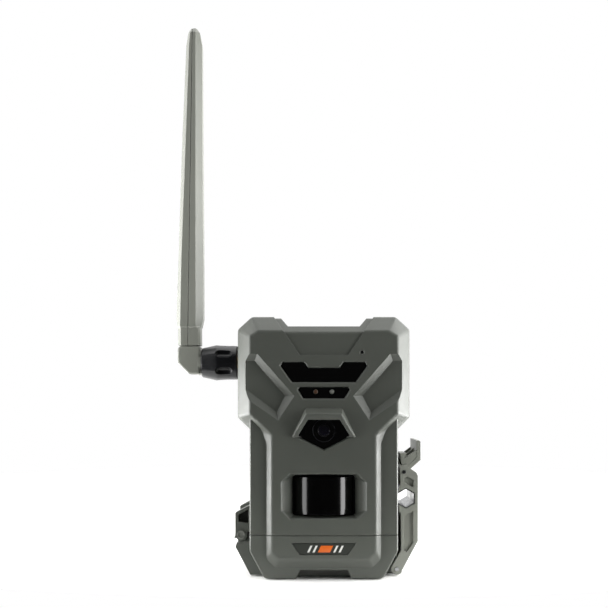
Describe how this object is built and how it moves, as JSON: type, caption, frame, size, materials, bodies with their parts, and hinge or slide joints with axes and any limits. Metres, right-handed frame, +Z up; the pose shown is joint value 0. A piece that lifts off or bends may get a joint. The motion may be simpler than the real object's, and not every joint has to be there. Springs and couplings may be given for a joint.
{
  "type": "trail camera",
  "caption": "Weatherproof trail camera with a drop-down battery door, side latch lever with sprung hook, and a fold-and-swivel paddle antenna on a grip nut",
  "frame": {"origin": "middle of the flat underside of the battery door, directly under the lens", "axes": "+Z up, the lens faces -Y, +X towards the latch side; the antenna stands on the -X side"},
  "size_m": [0.1243, 0.0807, 0.279],
  "materials": {
    "housing": "fine moulded texture",
    "antenna": "smooth matte",
    "grip": "satin",
    "window": "polished infrared-passing",
    "glass": "coated",
    "board": "solder mask",
    "steel": "plated",
    "brass": "turned",
    "rubber": "matte",
    "cell": "shrink sleeve",
    "black": "moulded",
    "white": "diffusing",
    "badge": "printed"
  },
  "bodies": {
    "housing": {"front_shell": "housing", "rear_shell": "housing", "shell_seal": "rubber", "flash_window": "window", "sensor_window": "window", "lens_window": "window", "pir_lens": "window", "lens_barrel": "black", "lens_glass": "glass", "image_sensor": "window", "main_board": "board", "flash_board": "board", "flash_diode_1": "glass", "flash_diode_2": "glass", "flash_diode_3": "glass", "flash_diode_4": "glass", "light_sensor": "white", "status_diode": "white", "motion_sensor": "steel", "microphone": "black", "bay_divider": "black", "aerial_socket": "brass", "socket_locknut": "brass", "aerial_lead": "black", "battery_tray": "black", "cell_1": "cell", "cell_2": "cell", "cell_3": "cell", "cell_4": "cell", "cell_5": "cell", "cell_6": "cell", "cell_7": "cell", "cell_8": "cell", "contact_board": "board", "control_panel": "black", "card_slot": "steel", "hinge_pin": "housing", "shell_screw_1": "steel", "shell_screw_2": "steel", "shell_screw_3": "steel", "shell_screw_4": "steel", "tripod_insert": "brass"},
    "door": {"battery_door": "housing", "badge_plate": "badge", "door_seal": "rubber", "latch_pin": "steel"},
    "lever": {"latch_lever": "housing", "hook_pin": "steel", "lock_sleeve": "steel"},
    "hook": {"latch_hook": "housing"},
    "nut": {"antenna_nut": "grip"},
    "elbow": {"antenna_elbow": "antenna", "tilt_pin": "steel"},
    "blade": {"antenna_blade_left": "antenna", "antenna_blade_right": "antenna", "antenna_tongue": "antenna", "aerial_rod": "brass"},
    "button": {"power_button": "rubber"},
    "card": {"memory_card": "black"}
  },
  "joints": [
    {"name": "door_swing", "type": "hinge", "parent": "housing", "child": "door", "pos_m": [-0.0416, 0, 0.0207], "axis": [0, 1, 0], "range_deg": [0, 105]},
    {"name": "latch_swing", "type": "hinge", "parent": "door", "child": "lever", "pos_m": [0.037, 0, 0.0032], "axis": [0, 1, 0], "range_deg": [0, 95]},
    {"name": "hook_release", "type": "hinge", "parent": "lever", "child": "hook", "pos_m": [0.0406, 0, 0.0522], "axis": [0, 1, 0], "range_deg": [0, 18], "stiffness_Nm_per_rad": 0.2, "springref_deg": -8.59},
    {"name": "antenna_nut_turn", "type": "hinge", "parent": "housing", "child": "nut", "pos_m": [-0.054, -0.012, 0.1077], "axis": [1, 0, 0], "continuous": true},
    {"name": "antenna_swivel", "type": "hinge", "parent": "housing", "child": "elbow", "pos_m": [-0.0628, -0.012, 0.1077], "axis": [1, 0, 0], "continuous": true},
    {"name": "antenna_tilt", "type": "hinge", "parent": "elbow", "child": "blade", "pos_m": [-0.0702, -0.012, 0.1057], "axis": [0, -1, 0], "range_deg": [0, 90]},
    {"name": "button_press", "type": "slide", "parent": "housing", "child": "button", "axis": [0, 0, 1], "range_m": [0, 0.0006], "stiffness_N_per_m": 600, "springref_m": -0.001},
    {"name": "card_push", "type": "slide", "parent": "housing", "child": "card", "axis": [0, 0, 1], "range_m": [0, 0.0012], "stiffness_N_per_m": 150, "springref_m": -0.004}
  ]
}
